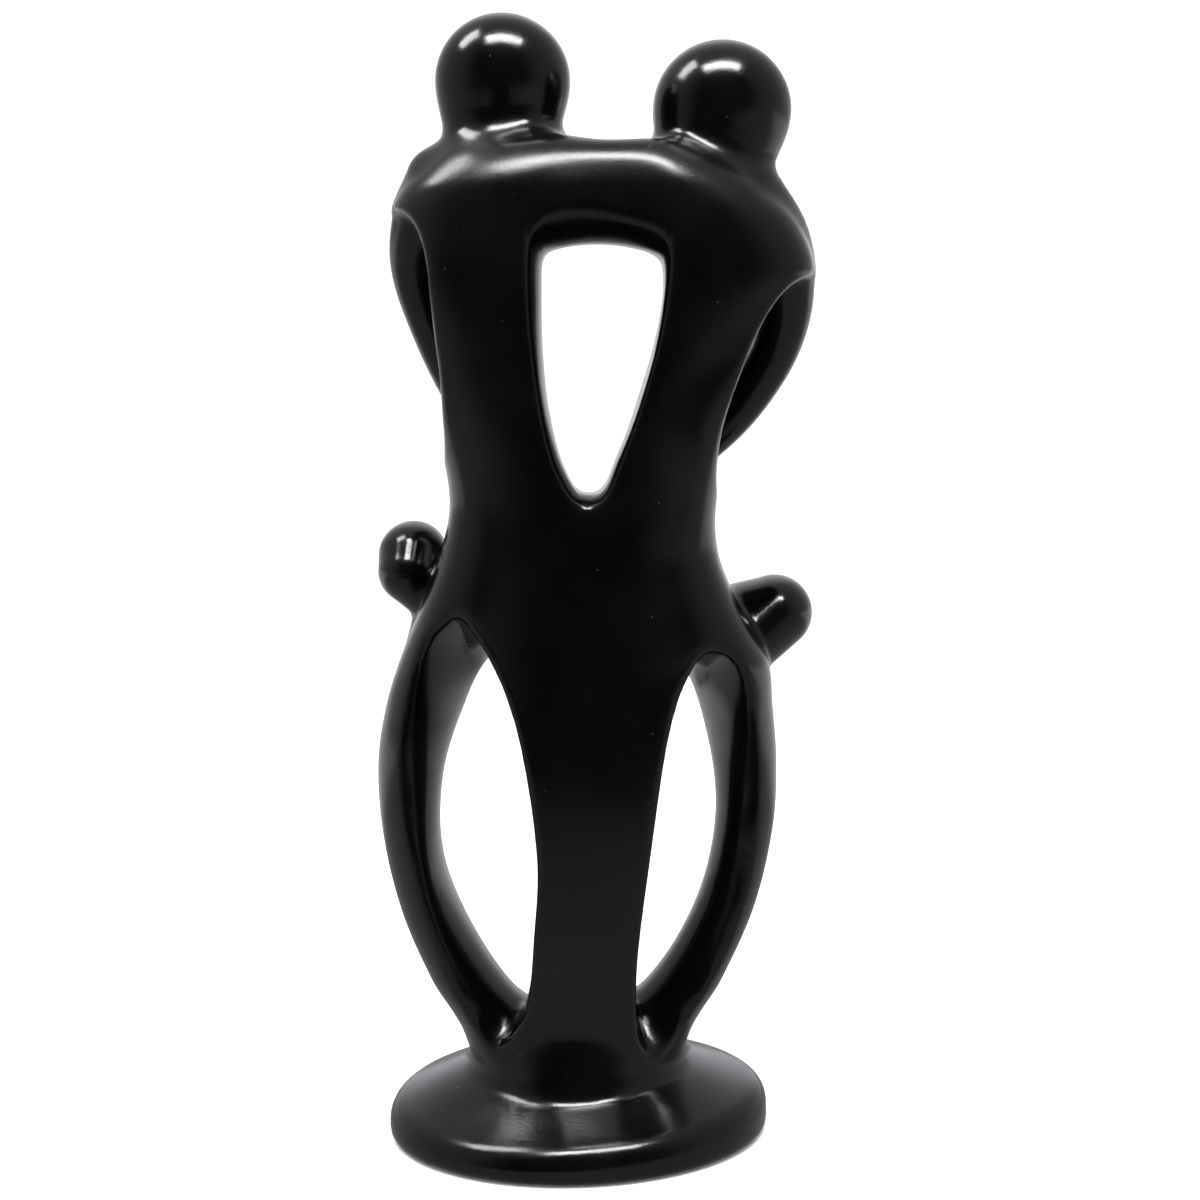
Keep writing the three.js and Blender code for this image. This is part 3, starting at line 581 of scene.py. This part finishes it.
def soapstone():
    """Black soapstone rubbed to a gloss: faint clouding, streaks of polish, hairlines and pin specks."""
    material = bpy.data.materials.new("polished_black_soapstone")
    material.use_nodes = True
    tree = material.node_tree
    shader = tree.nodes["Principled BSDF"]
    place = tree.nodes.new("ShaderNodeTexCoord").outputs["Object"]
    height = add_node(tree, "ShaderNodeSeparateXYZ", {0: place}).outputs["Z"]

    clouds = add_noise(tree, place, *CLOUDS)
    streaks = add_noise(tree, place, *STREAKS)
    grain = add_noise(tree, place, *GRAIN)
    hairlines = add_math(tree, "MAXIMUM", *[add_scratches(tree, place, turn) for turn in SCRATCH_TURNS])
    cells = add_node(tree, "ShaderNodeTexVoronoi", {"Vector": place, "Scale": 1 / (SPECK_GAP * MM)})
    inner, outer = [radius / SPECK_GAP for radius in SPECK_RADII]
    speck = add_range(tree, cells.outputs["Distance"], inner, outer, 1, 0)

    stone = add_mix(tree, add_range(tree, clouds, *CLOUD_RANGE, 0, 1), STONE_BLACK, STONE_CLOUD)
    tree.links.new(add_mix(tree, speck, stone, STONE_DUST), shader.inputs["Base Color"])

    foot, low, high, top = [z * MM for z in SHOULDER_HEIGHTS]
    below = add_range(tree, height, foot, low, 0, SHOULDER_HAZE)
    above = add_range(tree, height, high, top, SHOULDER_HAZE, 0)
    rubbed = add_math(tree, "ADD", add_range(tree, streaks, *STREAK_RANGE, *POLISH_STREAKS), POLISH)
    rubbed = add_math(tree, "ADD", rubbed, add_math(tree, "MINIMUM", below, above))
    rubbed = add_math(tree, "ADD", rubbed, add_range(tree, hairlines, 0, 1, 0, SCRATCH_HAZE))
    tree.links.new(rubbed, shader.inputs["Roughness"])

    relief = add_range(tree, grain, 0, 1, 0, GRAIN_DEPTH)
    relief = add_math(tree, "ADD", relief, add_range(tree, hairlines, 0, 1, 0, -SCRATCH_DEPTH))
    relief = add_math(tree, "ADD", relief, add_range(tree, speck, 0, 1, 0, -SPECK_DEPTH))
    bump = add_node(tree, "ShaderNodeBump", {"Height": relief, "Distance": MM}).outputs[0]
    tree.links.new(bump, shader.inputs["Normal"])
    return material


def add_fade(tree, distance, reach, grey):
    """A soft rise of the floor's painted glow from black at the near end of the reach to a grey at its
    far end.
    """
    sockets = {"Value": distance, "From Min": reach[0], "From Max": reach[1], "To Max": grey}
    return add_node(tree, "ShaderNodeMapRange", sockets, interpolation_type="SMOOTHSTEP").outputs[0]


def add_gloss_switch(tree, seen, mirrored):
    """One shader for what is seen straight on, and another for what the gloss mirrors."""
    glossy = tree.nodes.new("ShaderNodeLightPath").outputs["Is Glossy Ray"]
    return add_node(tree, "ShaderNodeMixShader", {0: glossy, 1: seen, 2: mirrored}).outputs[0]


def make_floor():
    """A pale sweep under the stone; in the stone's gloss it is replaced by a painted glow standing for
    the grey of the tent's floor.
    """
    mesh = bpy.data.meshes.new("floor")
    left, right, front, back = FLOOR_REACH
    corners = [(left, front, 0), (right, front, 0), (right, back, 0), (left, back, 0)]
    mesh.from_pydata(corners, [], [(0, 1, 2, 3)])
    floor = bpy.data.objects.new("floor", mesh)
    bpy.context.collection.objects.link(floor)
    material = bpy.data.materials.new("pale_floor")
    material.use_nodes = True
    tree = material.node_tree
    shader = tree.nodes["Principled BSDF"]
    shader.inputs["Base Color"].default_value = FLOOR_WHITE
    shader.inputs["Roughness"].default_value = FLOOR_ROUGHNESS
    shader.inputs["Specular IOR Level"].default_value = 0
    place = tree.nodes.new("ShaderNodeTexCoord").outputs["Object"]
    split = add_node(tree, "ShaderNodeSeparateXYZ", {0: place})
    depth = split.outputs["Y"]
    aside = add_node(tree, "ShaderNodeMath", {0: split.outputs["X"]}, operation="ABSOLUTE").outputs[0]
    front = add_fade(tree, depth, FLOOR_FRONT, FLOOR_GLOSS_GLOW)
    side = add_fade(tree, aside, FLOOR_SIDE, FLOOR_GLOSS_GLOW)
    back = add_fade(tree, depth, FLOOR_BACK, FLOOR_BACK_GLOSS_GLOW)
    brightest = add_math(tree, "MAXIMUM", add_math(tree, "MAXIMUM", front, side), back)
    # Painted reflection: an emission that glows only in the stone's gloss, though the floor is no lamp
    grey = add_node(tree, "ShaderNodeEmission", {"Color": (1, 1, 1, 1), "Strength": brightest})
    surface = add_gloss_switch(tree, shader.outputs["BSDF"], grey.outputs["Emission"])
    tree.links.new(surface, tree.nodes["Material Output"].inputs["Surface"])
    mesh.materials.append(material)


def make_lamp(name, place, size, aim, radiance):
    light = bpy.data.lights.new(name, "AREA")
    light.shape = "RECTANGLE"
    light.size, light.size_y = size[0] * MM, size[1] * MM
    light.energy = radiance * math.pi * light.size * light.size_y
    lamp = bpy.data.objects.new(name, light)
    bpy.context.collection.objects.link(lamp)
    lamp.location = Vector(place) * MM
    lamp.rotation_euler = (Vector(aim) - Vector(place)).to_track_quat("-Z", "Y").to_euler()
    lamp.visible_camera = False


def make_world():
    """A white tent, open and dark at the front; the gloss sees grey sides and a bright back."""
    world = bpy.data.worlds.new("studio")
    bpy.context.scene.world = world
    world.use_nodes = True
    tree = world.node_tree
    white = tree.nodes["Background"]
    white.inputs["Color"].default_value = (1, 1, 1, 1)
    white.inputs["Strength"].default_value = TENT_WHITE
    direction = tree.nodes.new("ShaderNodeTexCoord").outputs["Generated"]
    sockets = {0: direction, 1: (1, 1, TENT_FLATTEN)}
    flattened = add_node(tree, "ShaderNodeVectorMath", sockets, operation="MULTIPLY").outputs[0]
    heading = add_node(tree, "ShaderNodeVectorMath", {0: flattened}, operation="NORMALIZE").outputs[0]
    backness = add_node(tree, "ShaderNodeSeparateXYZ", {0: heading}).outputs["Y"]
    ramp = add_node(tree, "ShaderNodeValToRGB", {0: add_range(tree, backness, -1, 1, 0, 1)})
    stops = ramp.color_ramp.elements
    while len(stops) < len(TENT_GLOSS):
        stops.new(1)
    for stop, (place, value) in zip(stops, TENT_GLOSS):
        stop.position = (place + 1) / 2
        stop.color = (*[value * tint for tint in TENT_TINT], 1)
    tent = add_node(tree, "ShaderNodeBackground", {"Color": ramp.outputs["Color"]})
    surface = add_gloss_switch(tree, white.outputs["Background"], tent.outputs["Background"])
    tree.links.new(surface, tree.nodes["World Output"].inputs["Surface"])


def make_camera():
    data = bpy.data.cameras.new("camera")
    data.sensor_width = CAMERA_SENSOR
    data.lens = CAMERA_LENS
    camera = bpy.data.objects.new("camera", data)
    bpy.context.collection.objects.link(camera)
    camera.location = Vector(CAMERA_PLACE) * MM
    turn = Matrix.Rotation(math.pi / 2 - CAMERA_DOWN, 3, "X") @ Matrix.Rotation(CAMERA_ROLL, 3, "Z")
    camera.rotation_euler = turn.to_euler()
    bpy.context.scene.camera = camera


make_camera()
make_world()
make_floor()
for name, lamp in LAMPS.items():
    make_lamp(name, *lamp)
bpy.context.scene.view_settings.view_transform = "Standard"

stone = make_stone("family_stone")
stone.data.materials.append(soapstone())
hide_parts("family_carving")
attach(stone, "root")
